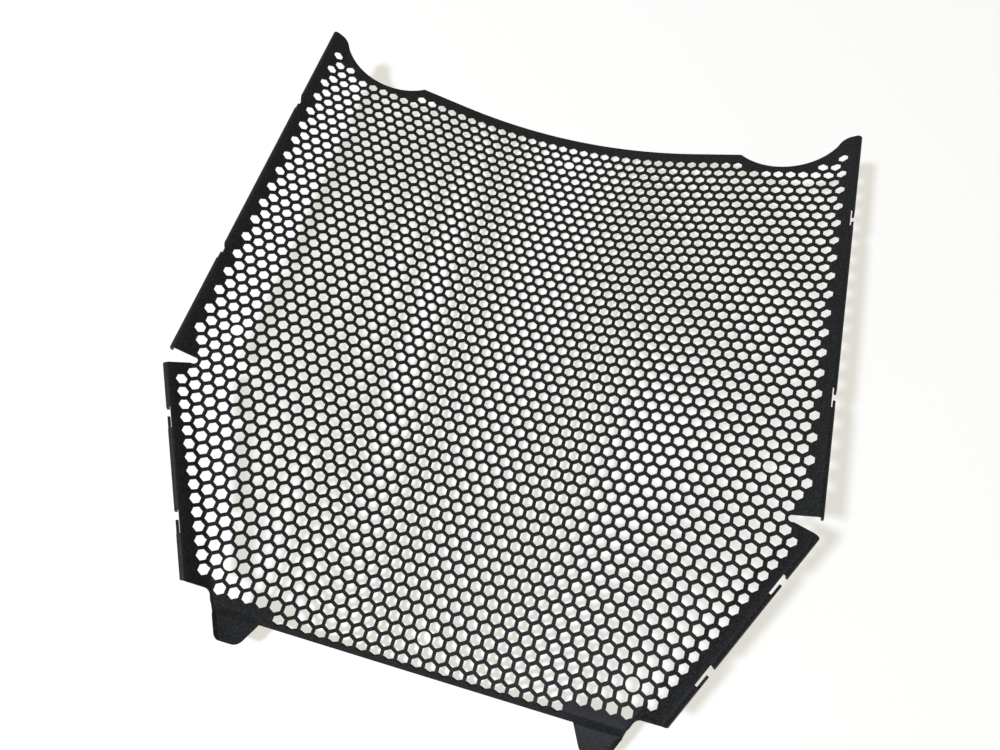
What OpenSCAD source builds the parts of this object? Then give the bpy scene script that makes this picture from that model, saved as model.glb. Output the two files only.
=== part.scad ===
// Radiator guard for a motorcycle: one sheet, cut flat with its holes, then folded.
// The guard lies on its curved back with its front face up. X runs across it, Y runs up it,
// and every place below is first a place on the flat blank: u across from the centre line,
// v up from the bottom fold.

/* [Sheet] */
// Thickness of the sheet
sheet_t = 1.2; // [1:0.1:1.6]
// Height from the bottom fold to the straight top edge
panel_h = 336; // [326:1:350]
// Width between the two upper side folds, over the blank
panel_w = 320; // [312:1:334]
// Inside radius of every pressed fold
fold_r = 1.2; // [0.8:0.1:1.6]

/* [Middle bend] */
// Radius of the wide bend, on the front face
bend_r = 285; // [260:1:286]
// Angle that each flat wing rises at
wing_angle = 15.5; // [12:0.5:15.5]

/* [Hexagon holes] */
// Distance between neighbouring hexagons
hex_pitch = 21; // [20:0.5:26]
// Bar left between neighbouring hexagons
hex_bar = 5.4; // [3:0.1:6]
// Sheet left between the hexagons and the folds
hex_land = 4; // [3:0.5:8]

/* [Fixing holes] */
// Diameter of a fixing hole
fix_d = 6.6; // [5:0.1:8]
// Distance of the outer pairs from the centre line
fix_side_u = 147; // [130:1:148]
// Height of the top row of fixing holes
fix_top_v = 315.2; // [308:0.1:318]
// Height of the middle pair
fix_mid_v = 133.4; // [125:0.1:150]
// Distance of the low pair from the centre line
fix_low_u = 101.5; // [80:0.5:102]
// Height of the low pair
fix_low_v = 18.2; // [15:0.1:24]
// Height of the single hole at the bottom
fix_bottom_v = 12.1; // [10:0.1:16]
// Sheet left round a fixing hole
fix_land = 2.5; // [2:0.5:4]

/* [Side strips] */
// Width of a strip, from its fold to its flange
strip_w = 10.5; // [8:0.1:12]
// Angle that the upper strips lift at
upper_lift = 20; // [10:1:28]
// Angle that the lower strips lift at
lower_lift = 25; // [10:1:29]
// Slope of the lower sides, away from upright
lower_slope = 28.5; // [24:0.5:32]
// How far outside the notch the lower fold line passes
lower_fold_out = 1.5; // [0:0.1:3]
// Height of the lower strip's bottom end
lower_end_v = 4.6; // [4:0.1:8]
// Depth of the flange below its fold
flange_d = 3.4; // [2.5:0.1:5]

/* [Side notches] */
// Height of the notch between the upper and lower strips
notch_v = 109.2; // [100:0.1:118]
// Radius of the notch's round end
notch_r = 1.9; // [1.5:0.1:2.5]

/* [Top ears] */
// How far an ear stands above the straight top edge
ear_rise = 12.8; // [10:0.1:16]
// Distance of the scallop's centre from the centre line
scallop_u = 130.2; // [124:0.1:134]
// Radius of the scallop
scallop_r = 36.4; // [32:0.1:40]
// Depth of the scallop below the straight top edge
scallop_d = 9.1; // [6:0.1:12]
// Radius of the rounded shoulder of the ear
shoulder_r = 7; // [5:0.5:8]
// Radius of the ear's outer corner
ear_corner_r = 2.3; // [1:0.1:2.4]

/* [Bottom lip and tabs] */
// Angle that the lip drops at
lip_angle = 50; // [35:1:60]
// Width of the flat part of the lip
lip_w = 3.8; // [2.5:0.1:6]
// Distance of a tab's middle from the centre line
tab_u = 89.5; // [84:0.5:92]
// Width of a tab where it leaves the lip
tab_w = 23; // [18:0.5:24]
// Slope of a tab's sides, away from upright
tab_slope = 27; // [15:1:28]
// How far a tab reaches below the bottom fold
tab_reach = 16; // [13:0.5:18]
// Radius of a tab's corners
tab_r = 5; // [2:0.1:5.2]
// Radius of the inside corner between a tab and the lower strip
foot_r = 4; // [2:0.5:5]

/* [Flange hooks] */
// Height of the gap of the upper hook on the upper side
hook_high_v = 291.5; // [270:0.5:300]
// Height of the gap of the lower hook on the upper side
hook_mid_v = 178; // [150:0.5:190]
// Distance of the first hook down the lower side
hook_low_a = 26; // [18:0.5:40]
// Distance of the second hook down the lower side
hook_low_b = 79; // [60:0.5:88]
// Width of the gap that opens the flange
hook_gap = 4.2; // [3:0.1:6]
// Length of the finger below a gap on the upper sides
high_finger = 5.5; // [4:0.5:10]
// Length of the finger below a gap on the lower sides
low_finger = 7; // [4:0.5:10]
// How far the flange's end slants back above a gap on the upper sides
hook_slant = 2; // [0:0.5:4]
// Width of the slot behind the finger, across the fold
hook_slot_w = 2.1; // [1.5:0.1:2.2]
// Depth of the finger itself
hook_finger_d = 2.2; // [1.5:0.1:2.4]

/* [Hidden] */
smooth = 48;
black = "#1d1f20";
cut = 60;
spare_turn = 20;
half_w = panel_w / 2;
out_r = fold_r + sheet_t;
arc_u = bend_r * wing_angle * PI / 180;
top_v = panel_h + ear_rise;
tab_tip_v = -tab_reach;
tab_root_v = -(out_r * sin(lip_angle) + lip_w * cos(lip_angle));
lip_drop = out_r * (1 - cos(lip_angle)) + lip_w * sin(lip_angle);
lip_low = lip_drop + sheet_t * cos(lip_angle);
scallop_v = panel_h - scallop_d + scallop_r;
shoulder_v = top_v - shoulder_r;
shoulder_u = scallop_u + sqrt(pow(scallop_r + shoulder_r, 2) - pow(scallop_v - shoulder_v, 2));
crown_u = scallop_u + (shoulder_u - scallop_u) * scallop_r / (scallop_r + shoulder_r);
crown_v = scallop_v + (shoulder_v - scallop_v) * scallop_r / (scallop_r + shoulder_r);
strip_out = half_w + fold_r * sin(upper_lift) + strip_w * cos(upper_lift) + out_r * (1 + sin(upper_lift));
foot_u = tab_u + tab_w / 2 - tab_root_v * tan(tab_slope);
lower_top = [half_w + lower_fold_out, notch_v];
lower_len = (notch_v - lower_end_v) / cos(lower_slope);
fix_places = [
    [0, fix_top_v], [-fix_side_u, fix_top_v], [fix_side_u, fix_top_v],
    [-fix_side_u, fix_mid_v], [fix_side_u, fix_mid_v],
    [-fix_low_u, fix_low_v], [fix_low_u, fix_low_v],
    [0, fix_bottom_v]
];
hex_af = hex_pitch - hex_bar;
hex_r = hex_af / sqrt(3);
hex_row = hex_pitch * sqrt(3) / 2;
hex_spill = hex_af / 8;
drill = 10;

// Distance of the lower fold line from the centre line at a height
function lower_fold_u(v) = lower_top[0] - (notch_v - v) * tan(lower_slope);
// Half the width of a tab at a height
function tab_side(v) = tab_w / 2 + (v - tab_root_v) * tan(tab_slope);
// Least distance between a place and a fixing hole
function fix_near(u, v) = min([for (p = fix_places) norm([u - p[0], v - p[1]])]);
// Half the width of the field of hexagons at a height
function field_u(v) = min(half_w - hex_land, lower_fold_u(v) - hex_land / cos(lower_slope));
// True where a hexagon lies whole in the field
function hex_whole(u, v) =
    abs(u) + hex_af / 2 <= field_u(v - hex_r)
    && v - hex_r >= hex_land
    && v + hex_r <= panel_h - scallop_d - hex_land
    && fix_near(u, v) >= hex_r + fix_d / 2 + fix_land;
// True where the edge of the field leaves about half of a hexagon or more
function hex_part(u, v) =
    abs(u) <= field_u(v) + hex_spill
    && v >= hex_land - hex_spill
    && v <= panel_h - hex_land + hex_spill
    && norm([abs(u) - scallop_u, v - scallop_v]) >= scallop_r + hex_land + hex_spill
    && fix_near(u, v) >= hex_af / 2;

// Puts a flat place of the right-hand wing on the folded wing
module on_wing() {
    translate([0, 0, bend_r]) rotate([0, -wing_angle, 0]) translate([-arc_u, 0, -bend_r]) children();
}

// Puts a place of the blank on the curve or on a wing
module on_panel(u, v) {
    if (abs(u) <= arc_u)
        translate([0, v, bend_r]) rotate([0, -u / bend_r * 180 / PI, 0]) translate([0, 0, -bend_r]) children();
    else
        mirror([u < 0 ? 1 : 0, 0, 0]) on_wing() translate([abs(u), v, 0]) children();
}

// A ring of sheet that bends round the Y axis: it starts at the top and turns towards +X
module fold_ring_y(angle, len) {
    rotate([-90, 0, 0]) rotate([0, 0, -90])
        rotate_extrude(angle = angle, $fn = smooth) translate([fold_r, 0]) square([sheet_t, len]);
}

// A fold along Y that lifts what follows it by an angle
module fold_up(angle, len) {
    difference() {
        translate([0, 0, fold_r]) mirror([0, 0, 1]) fold_ring_y(angle + spare_turn, len);
        after_up(angle) translate([0, -len, -out_r]) cube([cut, 3 * len, cut]);
    }
}

// What follows a fold that lifts
module after_up(angle) {
    translate([0, 0, fold_r]) rotate([0, -angle, 0]) translate([0, 0, -fold_r]) children();
}

// A fold along Y that drops what follows it by an angle
module fold_down(angle, len) {
    difference() {
        translate([0, 0, -out_r]) fold_ring_y(angle + spare_turn, len);
        after_down(angle) translate([0, -len, -out_r]) cube([cut, 3 * len, cut]);
    }
}

// What follows a fold that drops
module after_down(angle) {
    translate([0, 0, -out_r]) rotate([0, angle, 0]) translate([0, 0, out_r]) children();
}

// A flat stretch of sheet, with its front face at height 0
module leaf(w, len) {
    translate([0, 0, -sheet_t]) cube([w, len, sheet_t]);
}

// A lifted strip and its flange, from y = 0 up
module folded_edge(lift, len) {
    fold_up(lift, len);
    after_up(lift) {
        leaf(strip_w, len);
        translate([strip_w, 0, 0]) {
            fold_down(90 + lift, len);
            after_down(90 + lift) leaf(flange_d, len);
        }
    }
}

// The L-shaped cut that frees a finger in the flange, below height y
module hook_cut(lift, y, finger, slant) {
    outer_x = fold_r * sin(lift) + strip_w * cos(lift) + out_r * (1 + sin(lift));
    edge_z = fold_r * (1 - cos(lift)) + strip_w * sin(lift) - out_r * cos(lift) - flange_d;
    top_z = edge_z + flange_d + 2 * out_r;
    translate([outer_x - hook_slot_w, 0, 0]) rotate([90, 0, 90]) linear_extrude(cut) polygon([
        [y, edge_z - out_r],
        [y, edge_z],
        [y + slant, top_z],
        [y - hook_gap - finger, top_z],
        [y - hook_gap - finger, edge_z + hook_finger_d],
        [y - hook_gap, edge_z + hook_finger_d],
        [y - hook_gap, edge_z - out_r]
    ]);
}

// What is cut away round the ear, seen square to the wing
module ear_cut() {
    corner = [strip_out, top_v] - [ear_corner_r, ear_corner_r];
    translate([scallop_u, scallop_v]) circle(r = scallop_r, $fn = smooth);
    difference() {
        translate([crown_u, crown_v]) square(cut);
        translate([shoulder_u, shoulder_v]) circle(r = shoulder_r, $fn = smooth);
        translate([shoulder_u, 0]) square([corner[0] - shoulder_u, top_v]);
        translate([shoulder_u, 0]) square([cut, corner[1]]);
        translate(corner) circle(r = ear_corner_r, $fn = smooth);
    }
}

// The upper strip of the right-hand side, with its hooks
module upper_edge() {
    start_v = notch_v + notch_r;
    translate([half_w, 0, 0]) difference() {
        translate([0, start_v, 0]) folded_edge(upper_lift, top_v + shoulder_r - start_v);
        for (v = [hook_high_v, hook_mid_v]) hook_cut(upper_lift, v, high_finger, hook_slant);
    }
}

// The lower strip of the right-hand side, square at the notch and level at its foot
module lower_edge() {
    difference() {
        translate([lower_top[0], lower_top[1], 0]) rotate([0, 0, -lower_slope]) difference() {
            translate([0, -lower_len - cut / 2, 0]) folded_edge(lower_lift, lower_len + cut / 2 - notch_r);
            for (y = [hook_low_a, hook_low_b]) hook_cut(lower_lift, -y, low_finger, 0);
        }
        translate([0, lower_end_v - 2 * cut, -cut]) cube([panel_w, 2 * cut, 2 * cut]);
    }
}

// The flat wing of the right-hand side, inside its folds
module wing() {
    foot = [foot_u + lower_end_v * tan(tab_slope), lower_end_v];
    reach = foot_r / tan(45 + tab_slope / 2);
    foot_centre = foot + [reach, -foot_r];
    translate([0, 0, -sheet_t]) linear_extrude(sheet_t) difference() {
        polygon([
            [arc_u, 0],
            [foot_u, 0],
            foot - reach * [sin(tab_slope), cos(tab_slope)],
            foot_centre,
            foot + [reach, 0],
            [lower_fold_u(lower_end_v), lower_end_v],
            [lower_fold_u(notch_v - notch_r), notch_v - notch_r],
            [half_w, notch_v],
            [half_w, top_v + shoulder_r],
            [scallop_u, top_v + shoulder_r],
            [scallop_u, panel_h],
            [arc_u, panel_h]
        ]);
        translate([half_w, notch_v]) circle(r = notch_r, $fn = smooth);
        translate(foot_centre) circle(r = foot_r, $fn = smooth);
    }
}

// Cross-section of the lip: x is depth behind the front face, y is height on the blank
module lip_section() {
    translate([out_r, 0]) {
        intersection() {
            fold_ring();
            polygon([[0, 0], [-cut, 0], [-cut, -cut * tan(lip_angle)]]);
        }
        rotate(lip_angle) translate([-out_r, -lip_w]) square([sheet_t, lip_w]);
    }
}

// Cross-section of a tab and of the fold that brings it level again, measured as the lip
module tab_section() {
    centre = [lip_drop, tab_root_v] - fold_r * [cos(lip_angle), sin(lip_angle)];
    translate(centre) {
        intersection() {
            fold_ring();
            polygon([[0, 0], [cut, 0], [cut, cut * tan(lip_angle)]]);
        }
        translate([fold_r, tab_tip_v - centre[1]]) square([sheet_t, centre[1] - tab_tip_v]);
    }
}

// Cross-section of a fold, all the way round
module fold_ring() {
    difference() {
        circle(r = out_r, $fn = smooth);
        circle(r = fold_r, $fn = smooth);
    }
}

// Outline of the right-hand tab, seen square to the wing
module tab_outline() {
    corner = [tab_side(tab_tip_v + tab_r) - tab_r / cos(tab_slope), tab_tip_v + tab_r];
    side_v = corner[1] - tab_r * sin(tab_slope);
    translate([tab_u, 0]) {
        polygon([
            [-tab_side(tab_root_v), 0],
            [-tab_side(tab_root_v), tab_root_v],
            [-tab_side(side_v), side_v],
            [-corner[0], corner[1]],
            [-corner[0], tab_tip_v],
            [corner[0], tab_tip_v],
            corner,
            [tab_side(side_v), side_v],
            [tab_side(0), 0]
        ]);
        for (side = [-1, 1]) translate([side * corner[0], corner[1]]) circle(r = tab_r, $fn = smooth);
    }
}

// A stretch of the right-hand wing with a given section
module along_wing() {
    translate([arc_u, 0, 0]) rotate([0, 90, 0]) linear_extrude(foot_u - arc_u + sheet_t) children();
}

// The lip below the right-hand wing, up to the tab's outer side
module wing_lip() {
    intersection() {
        along_wing() lip_section();
        translate([0, 0, -cut]) linear_extrude(cut) polygon([
            [0, out_r],
            [foot_u + out_r * tan(tab_slope), out_r],
            [foot_u - cut * tan(tab_slope), -cut],
            [0, -cut]
        ]);
    }
}

// The right-hand tab with the fold that brings it level
module tab() {
    intersection() {
        along_wing() tab_section();
        translate([0, 0, -cut]) linear_extrude(cut) tab_outline();
    }
}

// A curved stretch of the middle with a given section
module swept() {
    translate([0, 0, bend_r]) rotate([-90, 0, 0]) rotate([0, 0, 90 - wing_angle])
        rotate_extrude(angle = 2 * wing_angle, $fn = smooth) translate([bend_r, 0]) children();
}

// The part of the blank that the hexagons fill
module field() {
    turn_v = notch_v - (lower_fold_out + hex_land - hex_land / cos(lower_slope)) / tan(lower_slope);
    difference() {
        polygon([
            [-field_u(hex_land), hex_land],
            [field_u(hex_land), hex_land],
            [field_u(turn_v), turn_v],
            [field_u(turn_v), panel_h - hex_land],
            [-field_u(turn_v), panel_h - hex_land],
            [-field_u(turn_v), turn_v]
        ]);
        for (side = [-1, 1]) translate([side * scallop_u, scallop_v])
            circle(r = scallop_r + hex_land, $fn = smooth);
        for (p = fix_places) translate(p) circle(r = fix_d / 2 + fix_land, $fn = smooth);
    }
}

// The hexagons, whole inside the field and cut off along its edge
module hexagons() {
    rows_up = ceil((panel_h - fix_top_v) / hex_row);
    rows_down = ceil(fix_top_v / hex_row);
    columns = ceil(half_w / hex_pitch);
    for (row = [-rows_up : rows_down], column = [-columns : columns]) {
        u = (column + (abs(row) % 2) / 2) * hex_pitch;
        v = fix_top_v - row * hex_row;
        if (hex_whole(u, v)) on_panel(u, v)
            rotate(30) cylinder(r = hex_r, h = drill, center = true, $fn = 6);
        else if (hex_part(u, v)) on_panel(u, v)
            linear_extrude(drill, center = true) intersection() {
                rotate(30) circle(r = hex_r, $fn = 6);
                translate([-u, -v]) field();
            }
    }
}

module guard_sheet() {
    color(black) translate([0, -(top_v + tab_tip_v) / 2, lip_low]) difference() {
        union() {
            swept() square([sheet_t, panel_h]);
            swept() lip_section();
            for (side = [0, 1]) mirror([side, 0, 0]) {
                on_wing() difference() {
                    union() {
                        wing();
                        upper_edge();
                        lower_edge();
                    }
                    translate([0, 0, -cut]) linear_extrude(2 * cut) ear_cut();
                }
                on_wing() {
                    wing_lip();
                    tab();
                }
            }
        }
        for (p = fix_places) on_panel(p[0], p[1])
            cylinder(d = fix_d, h = drill, center = true, $fn = smooth);
        hexagons();
    }
}

guard_sheet();
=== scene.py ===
# %% [markdown]
# # A motorcycle radiator guard
# The guard is one thin sheet: cut flat with 2432 hexagon holes, folded along its edges, rolled
# across its middle and powder coated black. The file follows the workshop's order, because a fold
# is easiest to place on a blank that is still flat.

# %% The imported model
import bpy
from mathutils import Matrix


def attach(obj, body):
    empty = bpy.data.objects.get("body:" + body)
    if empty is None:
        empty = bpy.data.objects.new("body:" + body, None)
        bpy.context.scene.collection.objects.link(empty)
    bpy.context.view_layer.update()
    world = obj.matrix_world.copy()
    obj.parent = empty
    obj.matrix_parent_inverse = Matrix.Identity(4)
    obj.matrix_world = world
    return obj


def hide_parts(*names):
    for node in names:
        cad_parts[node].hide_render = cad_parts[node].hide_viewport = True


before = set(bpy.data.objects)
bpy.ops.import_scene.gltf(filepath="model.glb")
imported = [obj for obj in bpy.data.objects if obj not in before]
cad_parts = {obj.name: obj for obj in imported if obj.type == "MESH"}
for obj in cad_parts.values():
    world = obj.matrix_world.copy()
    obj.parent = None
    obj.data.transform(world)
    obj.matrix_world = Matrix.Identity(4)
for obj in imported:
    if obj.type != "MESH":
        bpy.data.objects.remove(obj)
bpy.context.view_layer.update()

# %% [markdown]
# Blender works in metres and a sheet-metal worker in millimetres, so the sizes are written in
# millimetres and multiplied by mm. Four short helpers are used throughout: work_on makes a piece
# the only selected thing, places reads its points, pick_points selects some of them in edit mode,
# and report prints what a step has made.

# %% Helpers
import math

import bmesh
import bpy
import numpy as np
from mathutils import Vector

mm = 0.001


def work_on(piece):
    bpy.ops.object.select_all(action="DESELECT")
    piece.select_set(True)
    bpy.context.view_layer.objects.active = piece


def places(piece):
    flat = np.empty(len(piece.data.vertices) * 3)
    piece.data.vertices.foreach_get("co", flat)
    return flat.reshape(-1, 3)


def pick_points(piece, chosen):
    mesh = piece.data
    mesh.vertices.foreach_set("select", chosen)
    mesh.edges.foreach_set("select", [False] * len(mesh.edges))
    mesh.polygons.foreach_set("select", [False] * len(mesh.polygons))
    work_on(piece)
    bpy.ops.object.mode_set(mode="EDIT")
    bpy.ops.mesh.select_mode(type="VERT")


def report(piece):
    size = places(piece).max(axis=0) - places(piece).min(axis=0)
    print(piece.name, len(piece.data.polygons), "faces,", [round(float(s) / mm, 1) for s in size], "mm")


# %% [markdown]
# ## The camera
# The camera has the photograph's viewing angle. It stands a little right of the middle and about
# 40 cm away, which is close enough for the near edge to look much larger than the far one. Its
# place, and where the picture's right and down point, were fitted to the holes in the photograph.

# %% Camera
eye = Vector((0.0481, -0.1728, 0.3826))
right = Vector((0.9623, 0.2716, -0.0107))
down = Vector((0.2430, -0.8771, -0.4143))
picture_px, focal_px = 1000, 730.7

lens = bpy.data.cameras.new("camera")
lens.sensor_width = 36
lens.lens = focal_px / picture_px * lens.sensor_width
lens.clip_start = 0.01
camera = bpy.data.objects.new("camera", lens)
bpy.context.scene.collection.objects.link(camera)
up = -down.normalized()
side = (right - up * right.dot(up)).normalized()
back = side.cross(up)
for column, axis in enumerate((side, up, back)):
    for row in range(3):
        camera.matrix_world[row][column] = axis[row]
camera.matrix_world.translation = eye
bpy.context.scene.camera = camera
bpy.context.scene.view_settings.view_transform = "Standard"
print("camera at", [round(c, 3) for c in eye], "looking", [round(c, 3) for c in -back])

# %% [markdown]
# ## One cell of the grille
# The holes stand in a honeycomb: every hexagon touches six others across a bar of the same width.
# Drawing the bars one by one would be slow, so the sheet is built from cells instead. A cell is a
# hexagon as wide as the spacing, inset by half a bar, with the inner face deleted.

# %% The cell
pitch = 7.0 * mm
bar = 1.8 * mm
cell_side = pitch / math.sqrt(3)
row_step = pitch * math.sqrt(3) / 2

bpy.ops.object.select_all(action="DESELECT")
bpy.ops.mesh.primitive_circle_add(vertices=6, radius=cell_side, fill_type="NGON")
cell = bpy.context.object
cell.name = "cell"
bpy.ops.object.mode_set(mode="EDIT")
bpy.ops.mesh.inset(thickness=bar / 2)
bpy.ops.mesh.delete(type="FACE")
bpy.ops.object.mode_set(mode="OBJECT")
report(cell)

# %% [markdown]
# ## Rows of cells
# Each row runs as far as the sheet is wide there. Eight cells are left out where a round fixing
# hole takes their place. What is left of a row is one or more unbroken runs, and each run is a
# copy of the cell with an array. Places are counted in cells from the middle and in rows from the
# bottom.

# %% How far each row runs
row_count = 56
fixings = [(0, 52), (-21, 52), (21, 52), (-21, 22), (21, 22), (-14.5, 3), (14.5, 3), (0, 2)]
scallop_near, scallop_far = 15, 22


def reach(row):
    """The last cell of a row: two single rows, a slope up to row 16, the notch, and the upper part."""
    if row < 2:
        return (10, 14.5)[row]
    if row <= 16:
        return 23 - (16 - row) / 2
    if row <= 19:
        return (22.5, 22, 22.5)[row - 17]
    return 23 + row % 2 / 2


def runs(row):
    """The unbroken runs of a row. Of the top row there is only the last cell on each side."""
    last = reach(row)
    steps = [-last + step for step in range(int(2 * last) + 1)]
    if row == row_count - 2:
        steps = [u for u in steps if abs(u) <= scallop_near or abs(u) >= scallop_far]
    if row == row_count - 1:
        steps = [-last, last]
    steps = [u for u in steps if (u, row) not in fixings]
    starts = [i for i, u in enumerate(steps) if i == 0 or u - steps[i - 1] > 1]
    return [steps[a:b] for a, b in zip(starts, starts[1:] + [len(steps)])]


print(sum(len(run) for row in range(row_count) for run in runs(row)), "hexagon holes")

# %% The runs as arrays
weld = 0.1 * mm
rows = []
for row in range(row_count):
    for run in runs(row):
        piece = bpy.data.objects.new("row", cell.data.copy())
        bpy.context.scene.collection.objects.link(piece)
        piece.location = (run[0] * pitch, row * row_step, 0)
        array = piece.modifiers.new("array", "ARRAY")
        array.count = len(run)
        array.use_relative_offset = False
        array.use_constant_offset = True
        array.constant_offset_displace = (pitch, 0, 0)
        work_on(piece)
        bpy.ops.object.modifier_apply(modifier="array")
        rows.append(piece)

bpy.data.objects.remove(cell)
work_on(rows[0])
for piece in rows:
    piece.select_set(True)
bpy.ops.object.join()
sheet = bpy.context.object
sheet.name = "guard"
sheet.data.name = "guard"
bpy.ops.object.transform_apply(location=True, rotation=True, scale=True)
bpy.ops.object.mode_set(mode="EDIT")
bpy.ops.mesh.select_all(action="SELECT")
bpy.ops.mesh.remove_doubles(threshold=weld)
bpy.ops.object.mode_set(mode="OBJECT")
report(sheet)

# %% [markdown]
# ## The outline of the blank
# The blank is traced as on paper: one point is drawn out from corner to corner, on the right-hand
# half only, and then mirrored. Beyond a fold the drawing is flat too, so a length that runs round
# a fold is measured along the front face.

# %% Sizes of the blank
sheet_t = 1.2 * mm
half_w = 160 * mm
panel_h = 336 * mm
top_v = 348.8 * mm
fold_r = 1.2 * mm
out_r = fold_r + sheet_t
strip_w = 10.5 * mm
flange_d = 3.4 * mm
lower_slope = math.radians(28.5)
lip_angle = math.radians(50)
lip_w = 3.8 * mm
tab_u, tab_w, tab_tip_v, tab_r = 89.5 * mm, 23 * mm, -16 * mm, 5 * mm
tab_slope = math.radians(27)


def edge_width(lift):
    """How far a side strip and its flange reach out on the flat blank."""
    return fold_r * lift + strip_w + out_r * (math.pi / 2 + lift) + flange_d


upper_lift, lower_lift = math.radians(20), math.radians(25)
upper_out, lower_out = edge_width(upper_lift), edge_width(lower_lift)
print("upper strip and flange:", round(upper_out / mm, 2), "mm; lower:", round(lower_out / mm, 2), "mm")

# %% Arcs and hooks
def arc(centre, radius, start, end, steps):
    """Points along an arc between two angles in degrees."""
    angles = [math.radians(start + (end - start) * i / steps) for i in range(steps + 1)]
    return [(centre[0] + radius * math.cos(a), centre[1] + radius * math.sin(a)) for a in angles]


def hook(lift, out, top, finger, slant=0):
    """A gap in the flange with a finger below it, from the top down, across an edge that ends at out."""
    gap, finger_d, slot_w = 4.2 * mm, 2.2 * mm, 2.1 * mm
    turned = lift + math.asin(1 - slot_w / out_r)
    inner = out - flange_d - out_r * (math.pi / 2 + lift) + out_r * turned
    return [(out, top), (inner, top + slant), (inner, top - gap - finger),
            (out - finger_d, top - gap - finger), (out - finger_d, top - gap), (out, top - gap)]


# %% Ear, upper side and notch
def up_the_strip(u):
    """The place on the flat blank of a point seen square to the wing, past the upper fold."""
    past = u - half_w - fold_r * math.sin(upper_lift)
    return u if u < half_w else half_w + fold_r * upper_lift + past / math.cos(upper_lift)


scallop, scallop_r = (130.2 * mm, 363.3 * mm), 36.4 * mm
shoulder_r, corner_r = 7 * mm, 2.3 * mm
shoulder_v = top_v - shoulder_r
rise = scallop[1] - shoulder_v
shoulder_u = scallop[0] + math.sqrt((scallop_r + shoulder_r) ** 2 - rise ** 2)
first = -90 - math.degrees(math.acos((scallop[1] - panel_h) / scallop_r))
last = -math.degrees(math.asin(rise / (scallop_r + shoulder_r)))
edge = half_w + upper_out

ear = arc(scallop, scallop_r, first, last, steps=28)
ear += arc((shoulder_u, shoulder_v), shoulder_r, 180 + last, 90, steps=8)[1:]
ear = [(up_the_strip(u), v) for u, v in ear]
ear += arc((edge - corner_r, top_v - corner_r), corner_r, 90, 0, steps=4)

notch, notch_r = (half_w, 109.2 * mm), 1.9 * mm
upper_hooks, upper_finger, upper_slant = (291.5 * mm, 178 * mm), 5.5 * mm, 2 * mm
upper_side = []
for top in upper_hooks:
    points = hook(upper_lift, upper_out, top, upper_finger, upper_slant)
    upper_side += [(half_w + u, v) for u, v in points]
upper_side.append((edge, notch[1] + notch_r))
print("ear", len(ear), "points, upper side", len(upper_side), "points")

# %% Lower side and its foot
fold_top = (161.5 * mm, notch[1])
along = (math.sin(lower_slope), math.cos(lower_slope))
across = (math.cos(lower_slope), -math.sin(lower_slope))
lower_end_v = 4.6 * mm
lower_hooks, lower_finger = (-26 * mm, -79 * mm), 7 * mm


def on_lower(s, y):
    """A place on the lower strip: s out from its fold, y up along it from the notch."""
    return (fold_top[0] + s * across[0] + y * along[0], fold_top[1] + s * across[1] + y * along[1])


def foot_y(seen):
    """How far down the strip its level foot lies, at a distance from the fold seen square to the wing."""
    return (lower_end_v - fold_top[1] - seen * across[1]) / along[1]


strip_seen = fold_r * math.sin(lower_lift) + strip_w * math.cos(lower_lift)
flange_seen = strip_seen + out_r * (1 + math.sin(lower_lift))
strip_end = fold_r * lower_lift + strip_w
flange_start = strip_end + out_r * (math.pi / 2 + lower_lift)
back_off = (half_w - fold_top[0]) * along[0]
meet = math.sqrt(notch_r ** 2 - (notch_r + back_off) ** 2) + (half_w - fold_top[0]) * across[0]
start = on_lower(meet, -notch_r)
turn = math.degrees(math.atan2(start[1] - notch[1], start[0] - notch[0]))

lower_side = arc(notch, notch_r, 90, 360 + turn, steps=16)
lower_side.append(on_lower(lower_out, -notch_r))
for top in lower_hooks:
    lower_side += [on_lower(s, y) for s, y in hook(lower_lift, lower_out, top, lower_finger)]
lower_side += [
    on_lower(lower_out, foot_y(flange_seen)),
    on_lower(flange_start, foot_y(flange_seen)),
    on_lower(strip_end, foot_y(strip_seen)),
]
print("notch and lower side", len(lower_side), "points")

# %% Tab and lip
fold_start = -(out_r * math.sin(lip_angle) + lip_w * math.cos(lip_angle))
lip_edge = -(out_r * lip_angle + lip_w)
leaf_start = fold_start - fold_r * math.sin(lip_angle)
leaf_flat = lip_edge - fold_r * lip_angle
foot_u = tab_u + tab_w / 2 - fold_start * math.tan(tab_slope)


def half_tab(v):
    """Half the width of a tab at a height v, seen from above."""
    return tab_w / 2 + (v - fold_start) * math.tan(tab_slope)


def down_the_leaf(u, v):
    """The place on the flat blank of a point on the level end of a tab, seen from above."""
    return (u, v - leaf_start + leaf_flat)


foot = (foot_u + lower_end_v * math.tan(tab_slope), lower_end_v)
foot_r = 4 * mm
spare = foot_r / math.tan(math.pi / 4 + tab_slope / 2)
side_deg = math.degrees(tab_slope)
tip_u = half_tab(tab_tip_v + tab_r) - tab_r / math.cos(tab_slope)
bottom = arc((foot[0] + spare, foot[1] - foot_r), foot_r, 90, 180 - side_deg, steps=6)
bottom += [(foot_u, 0)]
bottom += [(tab_u + half_tab(-out_r * math.sin(a)), -out_r * a) for a in (lip_angle / 2, lip_angle)]
bottom += [(tab_u + tab_w / 2, lip_edge), (tab_u + half_tab(leaf_start), leaf_flat)]
for hand, turn_from, turn_to in ((1, -side_deg, -90), (-1, -90, side_deg - 180)):
    corner = arc((tab_u + hand * tip_u, tab_tip_v + tab_r), tab_r, turn_from, turn_to, steps=6)
    bottom += [down_the_leaf(u, v) for u, v in corner]
bottom += [(tab_u - half_tab(leaf_start), leaf_flat), (tab_u - tab_w / 2, lip_edge), (0, lip_edge)]
print("tab and lip", len(bottom), "points")

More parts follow.
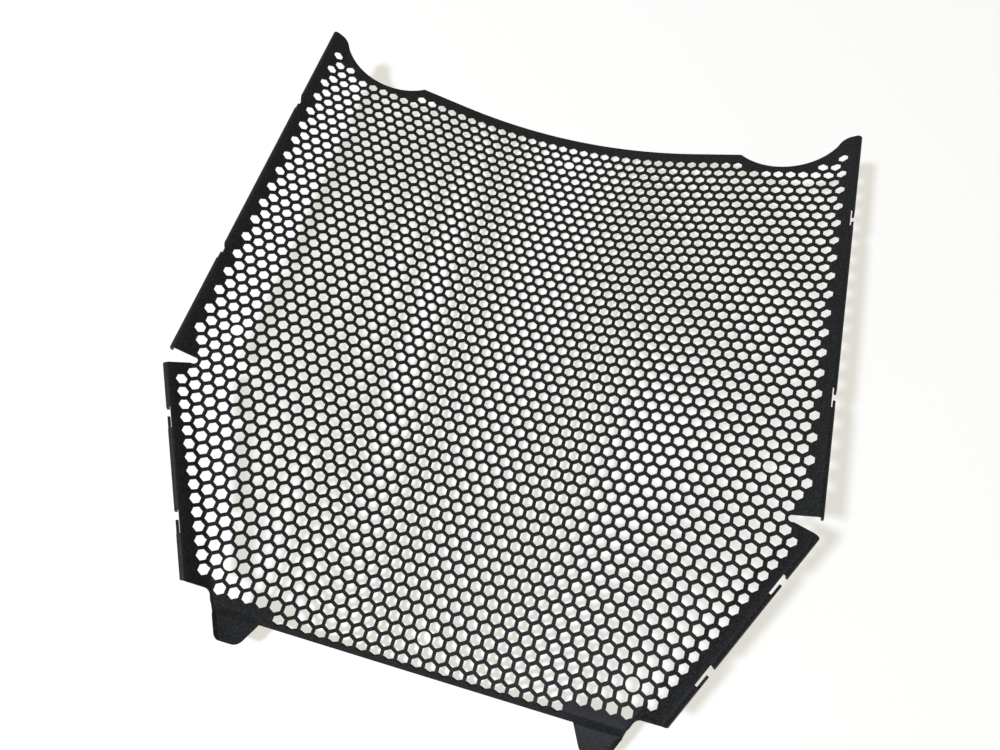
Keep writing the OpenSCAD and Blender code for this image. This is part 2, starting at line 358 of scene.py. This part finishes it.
# %% The outline, traced
bpy.ops.object.select_all(action="DESELECT")
bpy.ops.mesh.primitive_plane_add(size=1 * mm, location=(0, panel_h, 0))
outline = bpy.context.object
outline.name = "outline"
bpy.ops.object.transform_apply(location=True, rotation=True, scale=True)
bpy.ops.object.mode_set(mode="EDIT")
bpy.ops.mesh.merge(type="CENTER")
here = (0, panel_h)
for point in ear + upper_side + lower_side + bottom:
    step = (point[0] - here[0], point[1] - here[1], 0)
    bpy.ops.mesh.extrude_region_move(TRANSFORM_OT_translate={"value": step})
    here = point
bpy.ops.object.mode_set(mode="OBJECT")
mirror = outline.modifiers.new("mirror", "MIRROR")
mirror.merge_threshold = 0.01 * mm
bpy.ops.object.modifier_apply(modifier="mirror")
report(outline)

# %% [markdown]
# ## From net to blank
# The honeycomb, the outline and the eight round holes are three drawings in one plane. They are
# joined, the edges that face the plain margin are selected, and Fill closes the space between
# them. Those edges are the loose ones and the long sides of the outermost cells; the shorter
# boundary edges are the hexagon holes, which stay open.

# %% Fixing holes and margin
fix_r = 3.3 * mm
drawings = [outline]
for u, row in fixings:
    bpy.ops.object.select_all(action="DESELECT")
    bpy.ops.mesh.primitive_circle_add(vertices=32, radius=fix_r, location=(u * pitch, row * row_step, 0))
    drawings.append(bpy.context.object)

work_on(sheet)
for piece in drawings:
    piece.select_set(True)
bpy.ops.object.join()

long_side = 0.9 * cell_side
bpy.ops.object.mode_set(mode="EDIT")
bpy.ops.mesh.select_mode(type="EDGE")
bpy.ops.mesh.select_all(action="DESELECT")
net = bmesh.from_edit_mesh(sheet.data)
for rim in net.edges:
    rim.select = rim.is_wire or (rim.is_boundary and rim.calc_length() > long_side)
bpy.ops.mesh.fill(use_beauty=True)
for face in net.faces:
    face.select = face.normal.z < 0
bpy.ops.mesh.flip_normals()
bpy.ops.object.mode_set(mode="OBJECT")
area = sum(face.area for face in sheet.data.polygons) / mm ** 2
facing_up = all(face.normal.z > 0 for face in sheet.data.polygons)
print("area of the blank:", round(area), "mm2, all facing up:", facing_up)
report(sheet)

# %% [markdown]
# ## The folds
# A press brake makes a fold by turning what lies past a line, and this is done the same way. Each
# fold is several small turns, so that it gets a radius. Every line is first scored across the flat
# blank, and the turns then run from the outermost line inwards, so each line is still where it
# was drawn when its turn comes.

# %% Scoring and turning
hair = 1e-7


def score(piece, place, normal, chosen):
    """Cuts the faces that are chosen by their points along a line through a place."""
    pick_points(piece, chosen)
    bpy.ops.mesh.bisect(plane_co=place, plane_no=normal, threshold=hair)
    bpy.ops.object.mode_set(mode="OBJECT")


def turn_about(piece, chosen, place, angle, axis):
    """Turns the chosen points about a line through a place, along X, Y or Z."""
    pick_points(piece, chosen)
    bpy.ops.transform.rotate(value=angle, orient_axis=axis, center_override=place)
    bpy.ops.object.mode_set(mode="OBJECT")


def fold_lines(start, radius, angle, steps):
    """Where the small turns of one fold lie on the flat blank, and how far each turns."""
    width = radius * angle
    return [(start + (i + 0.5) * width / steps, angle / steps) for i in range(steps)]


# %% Where each fold lies
upper_end = half_w + fold_r * upper_lift + strip_w
upper_up = fold_lines(half_w, fold_r, upper_lift, steps=3)
upper_down = fold_lines(upper_end, out_r, math.pi / 2 + upper_lift, steps=8)
lower_up = fold_lines(0, fold_r, lower_lift, steps=3)
lower_down = fold_lines(strip_end, out_r, math.pi / 2 + lower_lift, steps=8)
lip_down = fold_lines(0, out_r, lip_angle, steps=4)
tab_up = fold_lines(-lip_edge, fold_r, lip_angle, steps=3)

bend_r, wing_angle = 285 * mm, math.radians(15.5)
roll_step = pitch / 2
whole = int(bend_r * wing_angle / roll_step) - 1
roll = [(i * roll_step, roll_step / bend_r) for i in range(1, whole + 1)]
roll.append(((whole + 1) * roll_step, wing_angle - (whole + 0.5) * roll_step / bend_r))
print(len(roll), "small turns on each side make the wide bend, the last at", round(roll[-1][0] / mm, 1), "mm")

# %% Scoring the blank
for hand in (1, -1):
    for u, _ in upper_up + upper_down:
        score(sheet, (hand * u, 0, 0), (1, 0, 0), places(sheet)[:, 1] > notch[1] - notch_r)
    for s, _ in lower_up + lower_down:
        on_line = (hand * (fold_top[0] + s * across[0]), fold_top[1] + s * across[1], 0)
        score(sheet, on_line, (hand * across[0], across[1], 0), places(sheet)[:, 1] < notch[1] + notch_r)
    for u, _ in roll:
        score(sheet, (hand * u, 0, 0), (1, 0, 0), places(sheet)[:, 2] == 0)
score(sheet, (0, 0, 0), (1, 0, 0), places(sheet)[:, 2] == 0)
for depth, _ in lip_down + tab_up:
    score(sheet, (0, -depth, 0), (0, 1, 0), places(sheet)[:, 1] < pitch)
flat = places(sheet)
report(sheet)

# %% Side strips and flanges
def press(past, lines, place, angle_sign, axis, direction):
    """Makes one fold: past is each point's distance out on the blank, lines run outwards from place."""
    for start, angle in reversed(lines):
        on_line = [c + start * d for c, d in zip(place, direction)]
        turn_about(sheet, past > start + hair, on_line, angle_sign * angle, axis)


for hand in (1, -1):
    upper = np.where(flat[:, 1] > notch[1], hand * flat[:, 0], -1)
    press(upper, upper_down, (0, 0, 0), -hand, "Y", (hand, 0, 0))
    press(upper, upper_up, (0, 0, 0), hand, "Y", (hand, 0, 0))

    pivot = (hand * fold_top[0], fold_top[1], 0)
    lower = (hand * flat[:, 0] - fold_top[0]) * across[0] + (flat[:, 1] - fold_top[1]) * across[1]
    lower = np.where(flat[:, 1] < notch[1], lower, -1)
    everything = flat[:, 2] == 0
    turn_about(sheet, everything, pivot, -hand * lower_slope, "Z")
    press(lower, lower_down, pivot, -hand, "Y", (hand, 0, 0))
    press(lower, lower_up, pivot, hand, "Y", (hand, 0, 0))
    turn_about(sheet, everything, pivot, hand * lower_slope, "Z")
report(sheet)

# %% Lip and tabs
downwards = -flat[:, 1]
press(downwards, tab_up, (0, 0, 0), 1, "X", (0, -1, 0))
press(downwards, lip_down, (0, 0, 0), -1, "X", (0, -1, 0))
report(sheet)

# %% [markdown]
# ## The wide bend and the thickness
# The middle is rolled to a wide curve by the same small turns, half a cell apart, where the cells
# have their corners anyway. Only then does the skin get its thickness, backwards from the front
# face, so every fold keeps the right radius on both faces.

# %% The wide bend
for hand in (1, -1):
    press(hand * flat[:, 0], roll, (0, 0, 0), hand, "Y", (hand, 0, 0))
    turn_about(sheet, hand * flat[:, 0] > hair, (0, 0, 0), hand * roll[0][1] / 2, "Y")
report(sheet)

# %% The thickness
skin = sheet.modifiers.new("thickness", "SOLIDIFY")
skin.thickness = sheet_t
skin.offset = -1
work_on(sheet)
bpy.ops.object.modifier_apply(modifier="thickness")

lip_drop = out_r * (1 - math.cos(lip_angle)) + lip_w * math.sin(lip_angle)
lip_low = lip_drop + sheet_t * math.cos(lip_angle)
pick_points(sheet, [True] * len(sheet.data.vertices))
bpy.ops.transform.translate(value=(0, -(top_v + tab_tip_v) / 2, lip_low))
bpy.ops.object.mode_set(mode="OBJECT")
bpy.ops.object.shade_smooth_by_angle(angle=math.radians(30))
report(sheet)

# %% [markdown]
# ## Finishes
# A finish is a small tree of nodes. Wiring them one by one hides the idea, so a class stands for
# one output of a node and lets sums and products be written as plain maths. Every other node comes
# from a single method. The room's light is a tree of nodes too, and is written in the same way.

# %% Shader maths
class Wire:
    """One output of a node. Adding or multiplying it, by a wire or a number, adds a Math node."""

    def __init__(self, finish, socket):
        self.finish, self.socket = finish, socket

    def maths(self, operation, other):
        return self.finish.node("ShaderNodeMath", {"operation": operation}, {0: self, 1: other})

    def __add__(self, other):
        return self.maths("ADD", other)

    def __mul__(self, other):
        return self.maths("MULTIPLY", other)

    __radd__, __rmul__ = __add__, __mul__


class Finish:
    """The nodes of a material or a world, with the shader and the output that they start with."""

    def __init__(self, owner, shader, output):
        owner.use_nodes = True
        self.tree = owner.node_tree
        self.shader, self.output = self.tree.nodes[shader], self.tree.nodes[output]

    def fill(self, node, sockets):
        """Gives sockets of a node their values, or the wires that feed them."""
        for name, value in sockets.items():
            if isinstance(value, Wire):
                self.tree.links.new(value.socket, node.inputs[name])
            else:
                node.inputs[name].default_value = value

    def node(self, kind, settings, sockets, out=0):
        """Adds a node, makes its settings before it fills its sockets, and hands on one output."""
        made = self.tree.nodes.new(kind)
        for name, value in settings.items():
            if name == "stops":
                for stop, (at, level) in zip(made.color_ramp.elements, value):
                    stop.position, stop.color = at, (level, level, level, 1)
            else:
                setattr(made, name, value)
        self.fill(made, sockets)
        return Wire(self, made.outputs[out])


# %% [markdown]
# ### Black powder coat
# Powder coat is sprayed on dry and baked. It flows into a skin with a very fine grain, so close up
# it glitters a little where light grazes it. One flat black would show none of that. Two noises
# make it instead: one under a millimetre wide for the grain, which gives the pale specks, the
# roughness and the relief, and one as wide as a hand for the slow change from olive to blue black.

# %% The coat
powder = bpy.data.materials.new("powder_coat")
coat = Finish(powder, "Principled BSDF", "Material Output")
olive, blue_black = (0.0042, 0.0040, 0.0034, 1), (0.0032, 0.0035, 0.0038, 1)
pale, pale_share = (0.033, 0.032, 0.030, 1), 0.45
grain_scale, cloud_scale, grain_depth = 1300.0, 14.0, 0.18 * mm


def mix(factor, first, second):
    """Mixes two colours, which a Mix node takes as inputs 6 and 7 and gives as output 2."""
    sockets = {"Factor": factor, 6: first, 7: second}
    return coat.node("ShaderNodeMix", {"data_type": "RGBA"}, sockets, out=2)


on_guard = coat.node("ShaderNodeTexCoord", {}, {}, out="Object")
grain = coat.node("ShaderNodeTexNoise", {}, {
    "Vector": on_guard, "Scale": grain_scale, "Detail": 2.0, "Roughness": 0.6})
cloud = coat.node("ShaderNodeTexNoise", {}, {"Vector": on_guard, "Scale": cloud_scale, "Detail": 2.0})
speck = coat.node("ShaderNodeValToRGB", {"stops": ((0.46, 0.0), (0.62, 1.0))}, {"Fac": grain})
relief = coat.node("ShaderNodeBump", {}, {"Height": grain, "Distance": grain_depth, "Strength": 1.0})
coat.fill(coat.shader, {
    "Base Color": mix(speck * pale_share, mix(cloud, olive, blue_black), pale),
    "Roughness": 0.45 + grain * 0.2,
    "Normal": relief,
    "Specular IOR Level": 0.11,
})
sheet.data.materials.clear()
sheet.data.materials.append(powder)
print("powder coat:", len(coat.tree.nodes), "nodes")

# %% [markdown]
# ## The table
# The guard lies on a white table. It rests on the lip at the bottom and on its belly at the top,
# which is about half a degree out of level. The guard has to stay where the solid model is, so the
# table is tilted to meet both. Seven tenths of what the camera sees of it is a white of its own,
# as in a photograph that is exposed for a black thing, and the rest still takes the guard's shadow.

# %% Table
table_w, table_gap = 6.0, 0.2 * mm
belly = lip_low - sheet_t
lie = math.atan2(belly, top_v)
table_at = (0, 0, belly / 2 - table_gap)
bpy.ops.object.select_all(action="DESELECT")
bpy.ops.mesh.primitive_plane_add(size=table_w)
table = bpy.context.object
table.name = "table"
bpy.ops.object.mode_set(mode="EDIT")
bpy.ops.mesh.select_all(action="SELECT")
bpy.ops.mesh.subdivide(number_cuts=3)
bpy.ops.transform.translate(value=table_at)
bpy.ops.transform.rotate(value=-lie, orient_axis="X", center_override=table_at)
bpy.ops.object.mode_set(mode="OBJECT")
low, high = places(table)[:, 2].min(), places(table)[:, 2].max()
print("table runs from", round(low, 3), "to", round(high, 3), "m")

# %% White of the table
def show(finish, other, share):
    """Shows a share of another shader to camera, glossy and transmission rays."""
    camera_ray, glossy_ray, through_ray = (
        finish.node("ShaderNodeLightPath", {}, {}, out=f"Is {kind} Ray")
        for kind in ("Camera", "Glossy", "Transmission"))
    factor = (camera_ray + glossy_ray + through_ray) * share
    plain = Wire(finish, finish.shader.outputs[0])
    shown = finish.node("ShaderNodeMixShader", {}, {0: factor, 1: plain, 2: other})
    finish.fill(finish.output, {"Surface": shown})


table_top = bpy.data.materials.new("table_top")
white = Finish(table_top, "Principled BSDF", "Material Output")
white.fill(white.shader, {"Base Color": (0.93, 0.93, 0.92, 1), "Roughness": 0.6})
glow = white.node("ShaderNodeEmission", {}, {"Color": (1.0, 0.975, 0.90, 1), "Strength": 1.0})
show(white, glow, share=0.7)
table.data.materials.append(table_top)
print("table white:", len(white.tree.nodes), "nodes")

# %% [markdown]
# ## The light
# The photograph's shadows point back to one lamp, up on the left and nearer to the guard's bottom
# edge, so one round lamp stands there. Round it is a faint warm room. The camera, and anything
# glossy or clear, sees a pale wall in place of that room, which keeps the background pale from
# every side without more light on the guard.

# %% Lamp
lamp_at, lamp_w, lamp_watts = Vector((-1.3, -1.05, 2.4)), 0.36, 114
light = bpy.data.lights.new("ceiling_lamp", "AREA")
light.shape, light.size, light.energy, light.color = "DISK", lamp_w, lamp_watts, (0.92, 1.0, 1.17)
lamp = bpy.data.objects.new("ceiling_lamp", light)
bpy.context.scene.collection.objects.link(lamp)
lamp.matrix_world = lamp_at.to_track_quat("Z", "Y").to_matrix().to_4x4()
lamp.matrix_world.translation = lamp_at
print("lamp of", lamp_watts, "W,", round(lamp_at.length, 2), "m from the guard")

# %% Room
world = bpy.data.worlds.new("room")
bpy.context.scene.world = world
room = Finish(world, "Background", "World Output")
room.fill(room.shader, {"Color": (1, 0.9, 0.72, 1), "Strength": 0.12})
wall = room.node("ShaderNodeBackground", {}, {"Color": (0.87, 0.87, 0.86, 1)})
show(room, wall, share=1)
print("room:", len(room.tree.nodes), "nodes")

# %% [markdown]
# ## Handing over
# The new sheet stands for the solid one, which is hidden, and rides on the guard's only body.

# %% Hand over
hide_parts("guard_sheet")
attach(sheet, "root")
